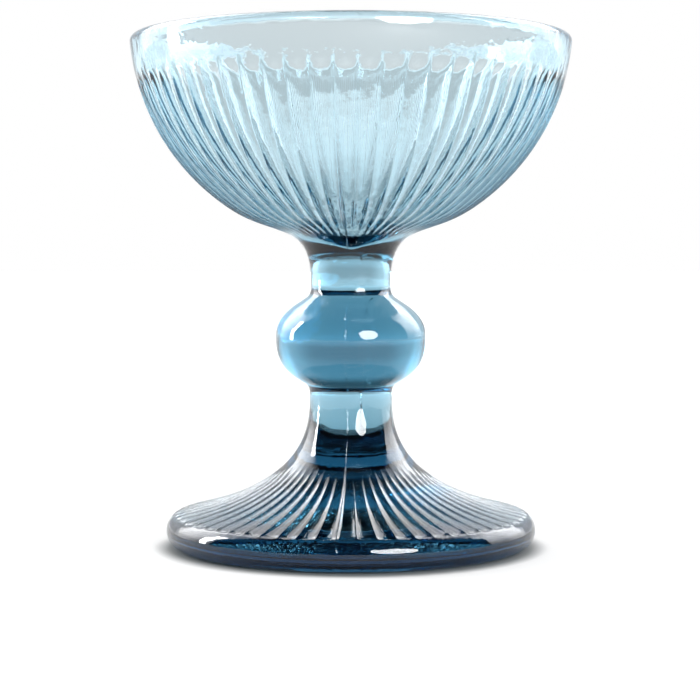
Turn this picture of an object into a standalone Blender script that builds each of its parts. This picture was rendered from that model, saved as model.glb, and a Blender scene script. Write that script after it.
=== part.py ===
"""Ribbed coupe glass, pressed in tinted blue glass.

The glass stands on z = 0 with its axis on Z. It is built as its five glass
sections, from the top: bowl, upper stem, knop, lower stem and foot. Each
section is a turned outline; the bowl and the foot then get their ribs.
All sizes are in metres and all angles in radians.
"""

import math

import bmesh
import bpy
from mathutils import Vector
from mathutils.geometry import interpolate_bezier

# Bowl
BOWL_RADIUS = 0.0499            # outer sphere
BOWL_CENTRE = 0.1183            # its height
LIP_HEIGHT = 0.1155             # top of the glass
CAVITY_RADIUS = 0.0465          # inner sphere
CAVITY_CENTRE = 0.1203
TIP_DEPTH = 0.0045              # the cavity runs to a soft point, this far below its sphere
TIP_RADIUS = 0.0150             # where that point begins
LIP_CHAMFER = 0.0010
BOWL_FLARE = 0.573              # angle from straight down where the sphere turns into the neck
BOWL_FLARE_REACH = 0.0115       # how far the sphere's direction carries on into the flare

# Stem
NECK_RADIUS = 0.0091
NECK_TOP = 0.0600               # the neck is straight below this height
NECK_REACH = 0.0140             # how far its direction carries on up into the flare
KNOP_RADIUS = 0.01715
KNOP_HEIGHT = 0.0479            # its widest level
KNOP_RISE = 0.01046             # half-height above and below the widest level
KNOP_DROP = 0.01205
KNOP_TOP_POWER = 2.0            # 2 is an ellipse, more is fuller
KNOP_LOW_POWER = 2.53
STEM_RADIUS = 0.0094
STEM_FLARE_TOP = 0.0332         # the lower stem is straight above this height
STEM_REACH = 0.0141             # how far its direction carries on down into the foot

# Foot
FOOT_RADIUS = 0.0421
RIM_ROUND = 0.00395             # radius of the foot's rounded edge
RIM_TOP_ANGLE = 0.224           # where the dome runs into that edge, from straight up
DOME_REACH = 0.0195             # how far the edge's direction carries on up the dome
RING_INNER = 0.0270             # inside of the flat ring that the glass stands on
RECESS_EDGE = 0.0240            # where the recess inside it reaches its full depth
RECESS_DEPTH = 0.0006

# Ribs
RIB_COUNT = 60
BOWL_RIB_DEPTH = 0.0006
FOOT_RIB_DEPTH = 0.0004
BOWL_RIB_LOW = 0.0703           # heights where the bowl's ribs start and end
BOWL_RIB_HIGH = 0.1060
FOOT_RIB_INNER = 0.0150         # radii where the foot's ribs start and end
FOOT_RIB_OUTER = 0.0405
RIB_FADE = 0.0030               # length over which a rib rises to its full depth

# Joints between the sections
BOWL_JOINT = 0.0660
FOOT_JOINT = 0.0220
GAP = 0.0003

# Fineness
RIBBED_STEPS = 2 * RIB_COUNT
PLAIN_STEPS = 48
SPHERE_ROWS = 10
CAVITY_ROWS = 12
FLARE_ROWS = 8
KNOP_ROWS = 6                   # on each side of the widest level
DOME_ROWS = 16
RIM_ROWS = 7
MERGE = 0.00001

# Glass
GLASS_BLUE = (0.10, 0.36, 0.52, 1.0)
GLASS_ROUGHNESS = 0.03
GLASS_IOR = 1.51
SMOOTH_LIMIT = math.radians(40)


def arc(centre_r, centre_z, radius, start, end, count):
    """Points on an arc, the angles counted from straight up towards +X."""
    points = []
    for i in range(count):
        angle = start + (end - start) * i / (count - 1)
        points.append((centre_r + radius * math.sin(angle), centre_z + radius * math.cos(angle)))
    return points


def curve(knot_a, handle_a, handle_b, knot_b, count):
    corners = [Vector((r, z)) for r, z in (knot_a, handle_a, handle_b, knot_b)]
    return [tuple(point) for point in interpolate_bezier(*corners, count)]


def height_on_oval(rise, power, radius):
    """Height above the knop's widest level where its outline has this radius."""
    return rise * (1 - (radius / KNOP_RADIUS) ** power) ** (1 / power)


def cut(outline, top, bottom):
    """The stretch of a falling outline between two heights, with exact ends."""
    kept = []
    for (r_a, z_a), (r_b, z_b) in zip(outline, outline[1:]):
        for height in (top, bottom):
            if z_a > height > z_b:
                share = (z_a - height) / (z_a - z_b)
                kept.append((r_a + (r_b - r_a) * share, height))
        if top > z_b > bottom:
            kept.append((r_b, z_b))
    if outline[0][1] <= top:
        kept.insert(0, outline[0])
    return kept


def bowl_inside(edge):
    """Inner outline of the bowl from its soft point at the bottom up to an angle."""
    points = []
    for radius, height in arc(0, CAVITY_CENTRE, CAVITY_RADIUS, math.pi, edge, CAVITY_ROWS):
        share = max(1 - radius / TIP_RADIUS, 0)
        points.append((radius, height - TIP_DEPTH * share * share))
    return points


def bowl_to_neck():
    """Outer outline from the widest point of the bowl down to the knop."""
    flare_r = BOWL_RADIUS * math.sin(BOWL_FLARE)
    flare_z = BOWL_CENTRE - BOWL_RADIUS * math.cos(BOWL_FLARE)
    sphere = arc(0, BOWL_CENTRE, BOWL_RADIUS, math.pi / 2, math.pi - BOWL_FLARE, SPHERE_ROWS)
    handle = (
        flare_r - BOWL_FLARE_REACH * math.cos(BOWL_FLARE),
        flare_z - BOWL_FLARE_REACH * math.sin(BOWL_FLARE),
    )
    neck = (NECK_RADIUS, NECK_TOP)
    neck_handle = (NECK_RADIUS, NECK_TOP + NECK_REACH)
    flare = curve((flare_r, flare_z), handle, neck_handle, neck, FLARE_ROWS)
    return sphere + flare[1:] + [(NECK_RADIUS, KNOP_HEIGHT)]


def knop_outline():
    points = []
    top = height_on_oval(KNOP_RISE, KNOP_TOP_POWER, NECK_RADIUS)
    low = height_on_oval(KNOP_DROP, KNOP_LOW_POWER, STEM_RADIUS)
    for i in range(-KNOP_ROWS, KNOP_ROWS + 1):
        swing = math.sin(math.pi / 2 * abs(i) / KNOP_ROWS)
        if i < 0:
            share = swing * top / KNOP_RISE
            radius = KNOP_RADIUS * (1 - share**KNOP_TOP_POWER) ** (1 / KNOP_TOP_POWER)
            points.append((radius, KNOP_HEIGHT + share * KNOP_RISE))
        else:
            share = swing * low / KNOP_DROP
            radius = KNOP_RADIUS * (1 - share**KNOP_LOW_POWER) ** (1 / KNOP_LOW_POWER)
            points.append((radius, KNOP_HEIGHT - share * KNOP_DROP))
    return points


def stem_to_rim():
    """Outer outline from the knop down the stem, over the foot to its flat ring."""
    rim_r = FOOT_RADIUS - RIM_ROUND
    rim = arc(rim_r, RIM_ROUND, RIM_ROUND, RIM_TOP_ANGLE, math.pi, RIM_ROWS)
    shoulder_r, shoulder_z = rim[0]
    handle = (
        shoulder_r - DOME_REACH * math.cos(RIM_TOP_ANGLE),
        shoulder_z + DOME_REACH * math.sin(RIM_TOP_ANGLE),
    )
    stem = (STEM_RADIUS, STEM_FLARE_TOP)
    stem_handle = (STEM_RADIUS, STEM_FLARE_TOP - STEM_REACH)
    dome = curve(stem, stem_handle, handle, (shoulder_r, shoulder_z), DOME_ROWS)
    return [(STEM_RADIUS, KNOP_HEIGHT)] + dome + rim[1:]


def turned(name, outline, steps):
    """A smooth solid of revolution from an outline that runs down its outer side."""
    mesh = bpy.data.meshes.new(name)
    edges = [(i, i + 1) for i in range(len(outline) - 1)]
    mesh.from_pydata([(r, 0, z) for r, z in outline], edges, [])
    part = bpy.data.objects.new(name, mesh)
    collection.objects.link(part)
    screw = part.modifiers.new("turn", "SCREW")
    screw.steps = steps
    screw.render_steps = steps
    screw.use_merge_vertices = True
    screw.merge_threshold = MERGE
    evaluated = part.evaluated_get(bpy.context.evaluated_depsgraph_get())
    solid = bpy.data.meshes.new_from_object(evaluated)
    part.modifiers.clear()
    part.data = solid
    return part


def press_ribs(part, depth_at):
    """Sink the valleys between the ribs along the surface's own normals."""
    shape = bmesh.new()
    shape.from_mesh(part.data)
    shape.normal_update()
    for vert in shape.verts:
        radius = math.hypot(vert.co.x, vert.co.y)
        angle = math.atan2(vert.co.y, vert.co.x)
        valley = 0.5 - 0.5 * math.cos(RIB_COUNT * angle)
        depth = depth_at(radius, vert.co.z, vert.normal)
        if depth > 0:
            vert.co -= vert.normal * depth * valley
    shape.to_mesh(part.data)
    shape.free()


def ramp(distance):
    """0 below zero, 1 beyond the fade length, smooth between."""
    share = min(max(distance / RIB_FADE, 0), 1)
    return share * share * (3 - 2 * share)


def bowl_rib_depth(radius, height, normal):
    if normal.z > 0 or height < BOWL_RIB_LOW:
        return 0
    return BOWL_RIB_DEPTH * ramp(height - BOWL_RIB_LOW) * ramp(BOWL_RIB_HIGH - height)


def foot_rib_depth(radius, height, normal):
    if normal.z < 0 or height < RIM_ROUND:
        return 0
    return FOOT_RIB_DEPTH * ramp(radius - FOOT_RIB_INNER) * ramp(FOOT_RIB_OUTER - radius)


def glass(name, colour):
    material = bpy.data.materials.new(name)
    material.use_nodes = True
    shader = material.node_tree.nodes["Principled BSDF"]
    shader.inputs["Base Color"].default_value = colour
    shader.inputs["Roughness"].default_value = GLASS_ROUGHNESS
    shader.inputs["Metallic"].default_value = 0.0
    shader.inputs["IOR"].default_value = GLASS_IOR
    shader.inputs["Transmission Weight"].default_value = 1.0
    return material


def finish(part, tint):
    """Smooth shading that keeps the true corners, and the section's own glass."""
    part.data.shade_smooth()
    part.data.set_sharp_from_angle(angle=SMOOTH_LIMIT)
    colour = tuple(channel * tint for channel in GLASS_BLUE[:3]) + (1.0,)
    part.data.materials.append(glass("glass_" + part.name, colour))


def make_bowl():
    """The inside runs up from the axis, the lip over, and the outside down again."""
    side_top = LIP_HEIGHT - LIP_CHAMFER
    base = BOWL_JOINT + GAP / 2
    outside = cut(bowl_to_neck(), side_top, base)
    inside = bowl_inside(math.acos((side_top - CAVITY_CENTRE) / CAVITY_RADIUS))
    lip = [
        (inside[-1][0] + LIP_CHAMFER, LIP_HEIGHT),
        (outside[0][0] - LIP_CHAMFER, LIP_HEIGHT),
    ]
    bowl = turned("bowl", inside + lip + outside + [(0, base)], RIBBED_STEPS)
    press_ribs(bowl, bowl_rib_depth)
    finish(bowl, 1.0)


def make_solid_section(name, outline, tint):
    """A plain solid section, closed by flat discs at its two ends."""
    closed = [(0, outline[0][1])] + outline + [(0, outline[-1][1])]
    finish(turned(name, closed, PLAIN_STEPS), tint)


def make_stem():
    knop = knop_outline()
    knop_top = knop[0][1]
    knop_low = knop[-1][1]
    neck = cut(bowl_to_neck(), BOWL_JOINT - GAP / 2, knop_top + GAP)
    make_solid_section("upper_stem", neck, 0.95)
    make_solid_section("knop", knop, 0.85)
    stem = cut(stem_to_rim(), knop_low - GAP, FOOT_JOINT + GAP / 2)
    make_solid_section("lower_stem", stem, 0.95)


def make_foot():
    top = FOOT_JOINT - GAP / 2
    outside = cut(stem_to_rim(), top, -GAP)
    recess = [(RING_INNER, 0), (RECESS_EDGE, RECESS_DEPTH), (0, RECESS_DEPTH)]
    foot = turned("foot", [(0, top)] + outside + recess, RIBBED_STEPS)
    press_ribs(foot, foot_rib_depth)
    finish(foot, 0.7)


for old in list(bpy.data.objects):
    bpy.data.objects.remove(old, do_unlink=True)
collection = bpy.data.collections.new("martini_glass")
bpy.context.scene.collection.children.link(collection)

make_bowl()
make_stem()
make_foot()
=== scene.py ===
"""Looks of the ribbed coupe: one continuous pressing of tinted blue glass.

The glass is turned from the outline of the CAD sections, which meet in it without
a joint, as molten glass does. Its flutes, mould seams and knurled recess are real
relief, and its faint waviness and handling haze come from the material. All sizes
are in metres, all angles in radians.
"""

import math

import bpy
import numpy as np
from mathutils import Euler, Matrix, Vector


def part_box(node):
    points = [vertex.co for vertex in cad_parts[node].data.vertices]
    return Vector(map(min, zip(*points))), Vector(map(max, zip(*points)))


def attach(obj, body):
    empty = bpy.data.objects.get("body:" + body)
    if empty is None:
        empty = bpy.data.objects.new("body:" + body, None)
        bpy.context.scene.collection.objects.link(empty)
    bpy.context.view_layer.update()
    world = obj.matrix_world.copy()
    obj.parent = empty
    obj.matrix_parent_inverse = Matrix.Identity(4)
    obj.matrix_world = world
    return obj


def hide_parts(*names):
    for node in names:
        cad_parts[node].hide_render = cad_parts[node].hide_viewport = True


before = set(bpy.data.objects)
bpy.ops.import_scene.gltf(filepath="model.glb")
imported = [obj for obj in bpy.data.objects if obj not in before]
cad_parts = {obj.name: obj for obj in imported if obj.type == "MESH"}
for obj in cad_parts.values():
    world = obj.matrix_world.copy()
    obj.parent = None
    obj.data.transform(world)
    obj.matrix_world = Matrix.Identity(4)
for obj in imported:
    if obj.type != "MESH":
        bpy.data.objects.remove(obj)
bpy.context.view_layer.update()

# Outline, as in the CAD model
BOWL_RADIUS = 0.04987
BOWL_CENTRE = 0.1183
CAVITY_RADIUS = 0.0465
CAVITY_CENTRE = 0.1203
TIP_DEPTH = 0.0045
TIP_RADIUS = 0.0150
BOWL_FLARE = 0.573
BOWL_FLARE_REACH = 0.0115
NECK_RADIUS = 0.0091
NECK_TOP = 0.0600
NECK_REACH = 0.0140
KNOP_HEIGHT = 0.0479
KNOP_RISE = 0.01046
KNOP_DROP = 0.01205
KNOP_TOP_POWER = 2.0
KNOP_LOW_POWER = 2.53
KNOP_CORNER = 0.0008             # softens the corners where the knop meets the stem
STEM_RADIUS = 0.0094
STEM_FLARE_TOP = 0.0332
STEM_REACH = 0.0141
RIM_ROUND = 0.00395
RIM_TOP_ANGLE = 0.224
BROW_ANGLE = 0.72                # the flutes end above this point of the rim
DOME_REACH = 0.0195
RING_MIDDLE = 0.0335
RING_INNER = 0.0270
RING_EDGE = 0.0010
RECESS_DEPTH = 0.0006
RECESS_EDGE_SHARE = 0.05         # part of the recess's depth at the ring's inner edge
LIP_HALF_HEIGHT = 0.0016

# Rows of the mesh along each part of the outline
CAVITY_ROWS = 26
LIP_ROWS = 10
BOWL_ROWS = 34
FLARE_ROWS = 19
STRAIGHT_ROWS = 5
KNOP_ROWS = 13
DOME_ROWS = 35
BROW_ROWS = 9
RIM_ROWS = 15
CENTRE_ROWS = 4

# From the frame
LIP_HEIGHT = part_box("bowl")[1].z
KNOP_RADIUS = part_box("knop")[1].x
FOOT_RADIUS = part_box("foot")[1].x

# Flutes
FLUTE_COUNT = 60
FLUTE_POWER = 2                  # 2 is a round flute, more has a flatter floor
RIDGE_WIDTH = 0.12               # rounded top of a ridge, as a share of half a flute
FLUTE_STOPS = (-1, -0.94, -0.85, -0.55, 0, 0.55, 0.85, 0.94)
BOWL_FLUTE_DEPTH = 0.00075
BOWL_FLUTES_START = (0.0703, 0.0730)   # heights between which they fade in
BOWL_FLUTES_END = (0.1035, 0.1065)     # and out again
BOWL_FLUTES_FULL = 0.040               # radius from which they have their whole depth
FOOT_FLUTE_DEPTH = 0.00046
FOOT_FLUTES_START = (0.0145, 0.0190)   # radii
FOOT_FLUTES_END = 0.0400
FOOT_FLUTES_FADE = 0.0006
FOOT_FLUTES_FULL = 0.032
FOOT_FLUTES_TOP = 0.030                # height

# Mould seams
SEAM_ANGLE = math.radians(-4.4)  # from the front, positive towards +X
SEAM_HEIGHT = 0.00010
SEAM_HALF_ANGLE = math.radians(0.6)
SEAM_START = (0.0008, 0.0025)    # heights
SEAM_BELOW_LIP = 0.004
POLISHED_FROM = (0.0540, 0.0570)  # no seam shows on the neck
POLISHED_TO = (0.0650, 0.0690)

# Knurl in the recess
KNURL_INNER = 0.0115
KNURL_OUTER = 0.0255
KNURL_PITCH = 0.0012
KNURL_HEIGHT = 0.00055
KNURL_BEADS = 90                 # round each ring of teeth
BEAD_DEPTH = 0.35                # of the teeth's height

# Glass
IOR = 1.5
TINT = (0.18, 0.56, 0.69, 1)
TINT_DENSITY = 100
HAZE_SCALE, HAZE_DETAIL = 90, 4
HAZE = (0.45, 0.75, 0.0, 0.03)   # roughness, 0 up to the first share of the noise
WAVE_SCALE, RIPPLE_SCALE, WAVE_DETAIL = 220, 900, 2
RIPPLE_SHARE = 0.12
WAVE_HEIGHT = 0.0001

# Floor: pale, with a painted shadow under the foot, where its colour and glow drop to dark. Each ramp is
# (from, to, before, after).
FLOOR_HALF = 6.0
FLOOR_DROP = 0.0002
FLOOR_ROUGHNESS = 0.8
FLOOR_COLOUR_PAINTED_SHADOW = (0.036, 0.042, 0.02, 0.35)
FLOOR_GLOW_PAINTED_SHADOW = (0.0405, 0.046, 0, 0.68)
FLOOR_GLOW_FAR = (0.15, 1.0, 0, 0.4)

# Studio walls, painted on the world by direction: X across, Y away, Z up
GLOW_LOW = (0.0, 0.06, 1.25, 0.78)
GLOW_HIGH = (0.12, 0.26, 0, 0.3)
GLOW_ASIDE = (0.3, 0.65, 0, 0.5)
WALL_AWAY = (0.30, 0.55, 0, 1)
WALL_UP = (0.34, 0.46, 1, 0.30)
WALL_END = (0.64, 0.74, 1, 0)
SIDE_START = (0.08, 0.14, 0, 1)
SIDE_END = (0.66, 0.78, 1, 0)
SIDE_LOW = (0.0, 0.40, 0.25, 1)
SIDE_HIGH = (0.60, 0.80, 1, 0)
CARD_AWAY = (0.05, 0.25, 0, 4.2)
CARD_MIDDLE = (0.1, 0.35, 0.35, 1)
CARD_ASIDE = (0.4, 0.7, 1, 0.35)
CARD_LOW = (0.36, 0.48, 0, 1)
CARD_HIGH = (0.84, 0.92, 1, 0)
SIDE_GLOSS = 4.5                 # in mirror reflections
SIDE_PLAIN = 1.5                 # in everything else
DARKEST = 0.03
BACKDROP = 1.0                   # what the camera sees

LIGHT_TARGET = (0, 0, 0.05)
CAMERA_PLACE = (-0.0002, -0.4366, 0.0669)
CAMERA_TILT = math.radians(90 - 2.92)
CAMERA_LENS = 98.7


def smooth(low, high, x):
    share = np.clip((x - low) / (high - low), 0, 1)
    return share * share * (3 - 2 * share)


# ---------------------------------------------------------------- outline
def arc(centre_r, centre_z, radius, start, end, count):
    """Points on an arc, the angles counted from straight up towards the outside."""
    angles = np.linspace(start, end, count)
    return np.stack([centre_r + radius * np.sin(angles), centre_z + radius * np.cos(angles)], 1)


def bezier(a, b, c, d, count):
    t = np.linspace(0, 1, count)[:, None]
    a, b, c, d = (np.array(p, float) for p in (a, b, c, d))
    return (1 - t) ** 3 * a + 3 * (1 - t) ** 2 * t * b + 3 * (1 - t) * t * t * c + t**3 * d


def bowl_inside():
    """The hollow, a ball that ends in a shallow point over the neck."""
    edge = math.acos((LIP_HEIGHT - LIP_HALF_HEIGHT - CAVITY_CENTRE) / CAVITY_RADIUS)
    points = arc(0, CAVITY_CENTRE, CAVITY_RADIUS, math.pi, edge, CAVITY_ROWS)
    points[:, 1] -= TIP_DEPTH * np.clip(1 - points[:, 0] / TIP_RADIUS, 0, 1) ** 2
    return points


def bowl_outside():
    edge = math.acos((LIP_HEIGHT - LIP_HALF_HEIGHT - BOWL_CENTRE) / BOWL_RADIUS)
    return arc(0, BOWL_CENTRE, BOWL_RADIUS, edge, math.pi - BOWL_FLARE, BOWL_ROWS)


def lip(inner_r, outer_r):
    """Fire-polished edge, a half oval over the wall."""
    angles = np.linspace(-math.pi / 2, math.pi / 2, LIP_ROWS)[1:-1]
    middle, half = (inner_r + outer_r) / 2, (outer_r - inner_r) / 2
    heights = LIP_HEIGHT - LIP_HALF_HEIGHT * (1 - np.cos(angles))
    return np.stack([middle + half * np.sin(angles), heights], 1)


def bowl_flare():
    start = (BOWL_RADIUS * math.sin(BOWL_FLARE), BOWL_CENTRE - BOWL_RADIUS * math.cos(BOWL_FLARE))
    handle = (
        start[0] - BOWL_FLARE_REACH * math.cos(BOWL_FLARE),
        start[1] - BOWL_FLARE_REACH * math.sin(BOWL_FLARE),
    )
    neck = (NECK_RADIUS, NECK_TOP)
    return bezier(start, handle, (NECK_RADIUS, NECK_TOP + NECK_REACH), neck, FLARE_ROWS)


def knop_side(rise, power, end_radius, sign):
    """One half of the knop, from its widest level to where the stem meets it."""
    end = (1 - (end_radius / KNOP_RADIUS) ** power) ** (1 / power)
    share = end * np.sin(np.linspace(0, math.pi / 2, KNOP_ROWS))
    return np.stack([KNOP_RADIUS * (1 - share**power) ** (1 / power), KNOP_HEIGHT + sign * share * rise], 1)


def foot_dome():
    shoulder = (
        FOOT_RADIUS - RIM_ROUND + RIM_ROUND * math.sin(RIM_TOP_ANGLE),
        RIM_ROUND + RIM_ROUND * math.cos(RIM_TOP_ANGLE),
    )
    handle = (
        shoulder[0] - DOME_REACH * math.cos(RIM_TOP_ANGLE),
        shoulder[1] + DOME_REACH * math.sin(RIM_TOP_ANGLE),
    )
    stem = (STEM_RADIUS, STEM_FLARE_TOP)
    return bezier(stem, (STEM_RADIUS, STEM_FLARE_TOP - STEM_REACH), handle, shoulder, DOME_ROWS)


def underside():
    """The flat ring that the glass stands on, and the knurled recess inside it."""
    ring = [(RING_MIDDLE, 0), (RING_INNER + RING_EDGE, 0), (RING_INNER, RECESS_EDGE_SHARE * RECESS_DEPTH)]
    radii = np.arange(KNURL_OUTER, KNURL_INNER, -KNURL_PITCH / 2)
    knurl = [(r, RECESS_DEPTH - KNURL_HEIGHT * (i % 2)) for i, r in enumerate(radii)]
    centre = [(r, RECESS_DEPTH) for r in np.linspace(radii[-1] - KNURL_PITCH / 2, 0, CENTRE_ROWS)]
    return np.array(ring + knurl + centre)


def rounded(points, where, radius):
    """Softens an inward corner at one height with a small blend of the outline."""
    distance = np.abs(points[:, 1] - where)
    swell = radius * np.clip(1 - distance / (2 * radius), 0, 1) ** 2
    points = points.copy()
    points[:, 0] += swell
    return points


def outline():
    """The whole outline, from the inside of the bowl over the lip down to the underside."""
    inside, outside = bowl_inside(), bowl_outside()
    over = lip(inside[-1, 0], outside[0, 0])
    top = knop_side(KNOP_RISE, KNOP_TOP_POWER, NECK_RADIUS, 1)[::-1]
    low = knop_side(KNOP_DROP, KNOP_LOW_POWER, STEM_RADIUS, -1)
    neck_heights = np.linspace(NECK_TOP, top[0, 1], STRAIGHT_ROWS)[1:]
    stem_heights = np.linspace(low[-1, 1], STEM_FLARE_TOP, STRAIGHT_ROWS)[1:-1]
    neck = np.stack([np.full(len(neck_heights), NECK_RADIUS), neck_heights], 1)
    stem = np.stack([np.full(len(stem_heights), STEM_RADIUS), stem_heights], 1)
    middle = np.concatenate([neck, top[1:], low[1:], stem])
    middle = rounded(middle, top[0, 1], KNOP_CORNER)
    middle = rounded(middle, low[-1, 1], KNOP_CORNER)
    rim_r = FOOT_RADIUS - RIM_ROUND
    brow = arc(rim_r, RIM_ROUND, RIM_ROUND, RIM_TOP_ANGLE, BROW_ANGLE, BROW_ROWS)
    rim = arc(rim_r, RIM_ROUND, RIM_ROUND, BROW_ANGLE, math.pi, RIM_ROWS)
    runs = [inside, over, outside, bowl_flare()[1:], middle, foot_dome(), brow[1:], rim[1:], underside()]
    return np.concatenate(runs), len(inside) + len(over)


# ---------------------------------------------------------------- relief
def wrapped(angle):
    return (angle + math.pi) % (2 * math.pi) - math.pi


def column_layout():
    """Angle of every column, and where it lies across its flute, from -1 to 1."""
    seam_reach = SEAM_HALF_ANGLE * FLUTE_COUNT / math.pi
    angles, across = [], []
    for flute in range(FLUTE_COUNT):
        stops = list(FLUTE_STOPS)
        if flute % (FLUTE_COUNT // 2) == 0:
            stops[1:1] = [seam_reach / 2 - 1, seam_reach - 1]
        if (flute + 1) % (FLUTE_COUNT // 2) == 0:
            stops += [1 - seam_reach, 1 - seam_reach / 2]
        for stop in stops:
            angles.append(SEAM_ANGLE + 2 * math.pi * (flute + (stop + 1) / 2) / FLUTE_COUNT)
            across.append(stop)
    order = np.argsort(angles)
    return np.array(angles)[order], np.array(across)[order]


def flute_share(across):
    """0 on the rounded ridge between two flutes and 1 along the middle of a flute."""
    reach = np.abs(across)
    top = 1 - RIDGE_WIDTH / 2
    rounded_top = top - (1 - reach) ** 2 / (2 * RIDGE_WIDTH)
    reach = np.where(reach > 1 - RIDGE_WIDTH, rounded_top, reach)
    return top**FLUTE_POWER - reach**FLUTE_POWER


def seam_share(angle):
    ridge = 0
    for seam in (SEAM_ANGLE, SEAM_ANGLE + math.pi):
        ridge = ridge + np.clip(1 - np.abs(wrapped(angle - seam)) / SEAM_HALF_ANGLE, 0, 1)
    return ridge


def beads(angle, radius):
    """Dents that break a ring of teeth into beads, each ring half a bead round from the next."""
    turn = np.round(radius / KNURL_PITCH) * math.pi
    return 0.5 + 0.5 * np.cos(KNURL_BEADS * angle + turn)


def relief(points, outside_from):
    """Depth of the surface under the smooth outline, for each row and column."""
    angle, across = (values[None, :] for values in column_layout())
    radius, height = points[:, 0:1], points[:, 1:2]
    row = np.arange(len(points))[:, None]
    outer = row >= outside_from
    below = row >= np.flatnonzero(points[:, 1] <= 1e-9)[0]

    on_bowl = smooth(*BOWL_FLUTES_START, height) * (1 - smooth(*BOWL_FLUTES_END, height))
    on_bowl = on_bowl * np.clip(radius / BOWL_FLUTES_FULL, 0, 1)
    fade = np.clip((radius - FOOT_FLUTES_END) / FOOT_FLUTES_FADE, 0, 1)
    on_foot = smooth(*FOOT_FLUTES_START, radius) * (1 - fade)
    on_foot = on_foot * (height < FOOT_FLUTES_TOP) * (height > RIM_ROUND)
    on_foot = on_foot * np.clip(radius / FOOT_FLUTES_FULL, 0, 1)
    depth = BOWL_FLUTE_DEPTH * on_bowl + FOOT_FLUTE_DEPTH * on_foot
    depth = depth * flute_share(across) * outer

    seamed = outer & ~below & (height < LIP_HEIGHT - SEAM_BELOW_LIP)
    polished = smooth(*POLISHED_FROM, height) * (1 - smooth(*POLISHED_TO, height))
    seamed = seamed * smooth(*SEAM_START, height) * (1 - polished)
    depth = depth - SEAM_HEIGHT * seam_share(angle) * seamed

    teeth = below & (radius > KNURL_INNER) & (radius < KNURL_OUTER) & (height < RECESS_DEPTH / 2)
    return depth + KNURL_HEIGHT * BEAD_DEPTH * beads(angle, radius) * teeth


def outline_normals(points):
    along = np.gradient(points, axis=0)
    normal = np.stack([-along[:, 1], along[:, 0]], 1)
    return normal / np.linalg.norm(normal, axis=1)[:, None]


def glass_mesh():
    points, outside_from = outline()
    normals = outline_normals(points)
    depth = relief(points, outside_from)
    angles = column_layout()[0]
    radius = points[:, 0:1] - normals[:, 0:1] * depth
    height = points[:, 1:2] - normals[:, 1:2] * depth
    x, y = radius * np.sin(angles), -radius * np.cos(angles)
    rows, columns = x.shape
    body = np.stack([x, y, height * np.ones_like(x)], 2)[1:-1].reshape(-1, 3)
    first, last = len(body), len(body) + 1
    verts = np.concatenate([body, [[0, 0, points[0, 1]], [0, 0, points[-1, 1]]]])
    index = np.arange(len(body)).reshape(rows - 2, columns)
    beside = np.roll(index, -1, axis=1)
    quads = np.stack([index[:-1], beside[:-1], beside[1:], index[1:]], 2)
    faces = quads.reshape(-1, 4)[:, ::-1].tolist()
    faces += [(first, int(a), int(b)) for a, b in zip(index[0], beside[0])]
    faces += [(last, int(b), int(a)) for a, b in zip(index[-1], beside[-1])]
    mesh = bpy.data.meshes.new("pressed_glass")
    mesh.from_pydata(verts.tolist(), [], faces)

    # the teeth of the knurl keep their sharp facets
    first_tooth = np.flatnonzero((points[:, 0] <= KNURL_OUTER) & (points[:, 1] <= RECESS_DEPTH))[0]
    smooth_faces = np.ones(len(faces), bool)
    smooth_faces[(first_tooth - 1) * columns:(rows - 1 - CENTRE_ROWS) * columns] = False
    mesh.polygons.foreach_set("use_smooth", smooth_faces)
    return mesh


# ---------------------------------------------------------------- nodes
class Graph:
    """Small helper that adds linked nodes to one node tree."""

    def __init__(self, owner):
        owner.use_nodes = True
        self.nodes, self.links = owner.node_tree.nodes, owner.node_tree.links

    def put(self, value, socket):
        if isinstance(value, bpy.types.NodeSocket):
            self.links.new(value, socket)
        else:
            socket.default_value = value

    def math(self, operation, a, b=0.0):
        node = self.nodes.new("ShaderNodeMath")
        node.operation = operation
        self.put(a, node.inputs[0])
        self.put(b, node.inputs[1])
        return node.outputs[0]

    def times(self, *values):
        result = values[0]
        for value in values[1:]:
            result = self.math("MULTIPLY", result, value)
        return result

    def plus(self, *values):
        result = values[0]
        for value in values[1:]:
            result = self.math("ADD", result, value)
        return result

    def ramp(self, source, limits, kind="SMOOTHSTEP"):
        """A value that goes from before to after between two limits of its source."""
        node = self.nodes.new("ShaderNodeMapRange")
        node.interpolation_type = kind
        for name, value in zip(("From Min", "From Max", "To Min", "To Max"), limits):
            node.inputs[name].default_value = value
        self.links.new(source, node.inputs["Value"])
        return node.outputs["Result"]

    def place(self, space):
        """A point's coordinates, together and one by one."""
        where = self.nodes.new("ShaderNodeTexCoord").outputs[space]
        split = self.nodes.new("ShaderNodeSeparateXYZ")
        self.links.new(where, split.inputs["Vector"])
        return where, *split.outputs

    def noise(self, where, scale, detail):
        node = self.nodes.new("ShaderNodeTexNoise")
        self.links.new(where, node.inputs["Vector"])
        node.inputs["Scale"].default_value = scale
        node.inputs["Detail"].default_value = detail
        return node.outputs[0]


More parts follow.
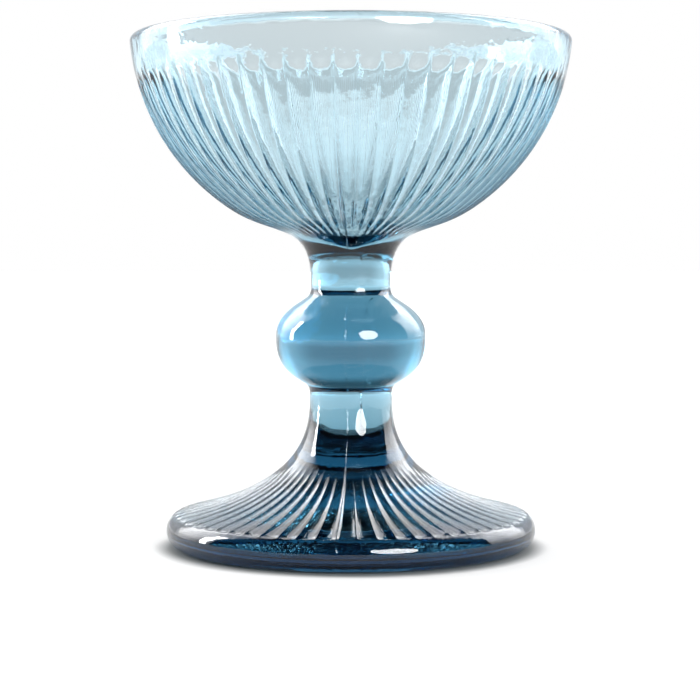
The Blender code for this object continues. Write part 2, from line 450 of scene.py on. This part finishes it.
# ---------------------------------------------------------------- glass
def glass_material():
    material = bpy.data.materials.new("tinted_blue_glass")
    graph = Graph(material)
    shader = graph.nodes["Principled BSDF"]
    shader.inputs["Base Color"].default_value = (1, 1, 1, 1)
    shader.inputs["IOR"].default_value = IOR
    shader.inputs["Transmission Weight"].default_value = 1.0
    where = graph.place("Object")[0]
    graph.put(graph.ramp(graph.noise(where, HAZE_SCALE, HAZE_DETAIL), HAZE), shader.inputs["Roughness"])
    ripples = graph.times(graph.noise(where, RIPPLE_SCALE, WAVE_DETAIL), RIPPLE_SHARE)
    bump = graph.nodes.new("ShaderNodeBump")
    bump.inputs["Distance"].default_value = WAVE_HEIGHT
    graph.put(graph.plus(graph.noise(where, WAVE_SCALE, WAVE_DETAIL), ripples), bump.inputs["Height"])
    graph.put(bump.outputs["Normal"], shader.inputs["Normal"])
    absorb = graph.nodes.new("ShaderNodeVolumeAbsorption")
    absorb.inputs["Color"].default_value = TINT
    absorb.inputs["Density"].default_value = TINT_DENSITY
    graph.put(absorb.outputs["Volume"], graph.nodes["Material Output"].inputs["Volume"])
    return material


glass = bpy.data.objects.new("pressed_glass", glass_mesh())
bpy.context.scene.collection.objects.link(glass)
glass.data.materials.append(glass_material())
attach(glass, "root")
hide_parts("bowl", "upper_stem", "knop", "lower_stem", "foot")


# ---------------------------------------------------------------- studio
def make_floor():
    mesh = bpy.data.meshes.new("floor")
    corners = [(-1, -1), (1, -1), (1, 1), (-1, 1)]
    mesh.from_pydata([(x * FLOOR_HALF, y * FLOOR_HALF, 0) for x, y in corners], [], [(0, 1, 2, 3)])
    floor = bpy.data.objects.new("floor", mesh)
    bpy.context.scene.collection.objects.link(floor)
    floor.location.z = -FLOOR_DROP
    material = bpy.data.materials.new("pale_floor_painted_shadow")
    graph = Graph(material)
    shader = graph.nodes["Principled BSDF"]
    shader.inputs["Roughness"].default_value = FLOOR_ROUGHNESS
    shader.inputs["Emission Color"].default_value = (1, 1, 1, 1)
    reach = graph.nodes.new("ShaderNodeVectorMath")
    reach.operation = "LENGTH"
    graph.put(graph.place("Object")[0], reach.inputs[0])
    radius = reach.outputs["Value"]
    # colour and glow drop to dark under the foot: a painted shadow
    graph.put(graph.ramp(radius, FLOOR_COLOUR_PAINTED_SHADOW, "LINEAR"), shader.inputs["Base Color"])
    glow = graph.plus(graph.ramp(radius, FLOOR_GLOW_PAINTED_SHADOW), graph.ramp(radius, FLOOR_GLOW_FAR, "LINEAR"))
    graph.put(glow, shader.inputs["Emission Strength"])
    mesh.materials.append(material)


def make_world():
    """A bright wall behind, side boxes, and a dark ceiling and camera side.

    The upper card and the side boxes show in reflections; the camera sees plain white.
    """
    world = bpy.data.worlds.new("studio")
    bpy.context.scene.world = world
    graph = Graph(world)
    background = graph.nodes["Background"]
    background.inputs["Color"].default_value = (1, 1, 1, 1)
    _, x, y, z = graph.place("Generated")
    path = graph.nodes.new("ShaderNodeLightPath")
    aside = graph.math("ABSOLUTE", x)

    def window(*ramps):
        return graph.times(*(graph.ramp(source, limits) for source, limits in ramps))

    glow = graph.plus(graph.ramp(z, GLOW_LOW), graph.ramp(z, GLOW_HIGH), graph.ramp(aside, GLOW_ASIDE))
    wall = graph.times(glow, window((y, WALL_AWAY), (z, WALL_UP), (z, WALL_END)))
    side = window((y, SIDE_START), (y, SIDE_END), (z, SIDE_LOW), (z, SIDE_HIGH))
    card = window((y, CARD_AWAY), (aside, CARD_MIDDLE), (aside, CARD_ASIDE), (z, CARD_LOW), (z, CARD_HIGH))
    mirrored = graph.math("SUBTRACT", path.outputs["Is Reflection Ray"], path.outputs["Is Diffuse Ray"])
    shown = graph.times(mirrored, graph.plus(graph.times(side, SIDE_GLOSS), card))
    total = graph.math("MAXIMUM", graph.plus(wall, graph.times(side, SIDE_PLAIN), shown), DARKEST)
    seen = graph.nodes.new("ShaderNodeMix")
    graph.put(path.outputs["Is Camera Ray"], seen.inputs["Factor"])
    graph.put(total, seen.inputs["A"])
    graph.put(BACKDROP, seen.inputs["B"])
    graph.put(seen.outputs["Result"], background.inputs["Strength"])


def area_light(name, shape, size, place, power):
    data = bpy.data.lights.new(name, "AREA")
    data.shape = shape
    data.size, data.size_y = size
    data.energy = power
    light = bpy.data.objects.new(name, data)
    bpy.context.scene.collection.objects.link(light)
    light.location = place
    light.rotation_euler = (Vector(LIGHT_TARGET) - Vector(place)).to_track_quat("-Z", "Y").to_euler()


def make_camera():
    data = bpy.data.cameras.new("camera")
    data.lens = CAMERA_LENS
    data.sensor_width = 36
    data.clip_start = 0.01
    camera = bpy.data.objects.new("camera", data)
    bpy.context.scene.collection.objects.link(camera)
    camera.location = CAMERA_PLACE
    camera.rotation_euler = Euler((CAMERA_TILT, 0, 0))
    bpy.context.scene.camera = camera


make_floor()
make_world()
area_light("softbox", "DISK", (0.5, 0.5), (0.42, -0.86, 0.30), 12)    # in front on the right
area_light("strip", "RECTANGLE", (0.12, 1.0), (-0.95, 0.18, 0.25), 10)  # on the left
make_camera()

scene = bpy.context.scene
scene.view_settings.view_transform = "Standard"
scene.cycles.max_bounces = 32
scene.cycles.transmission_bounces = 32
scene.cycles.glossy_bounces = 12
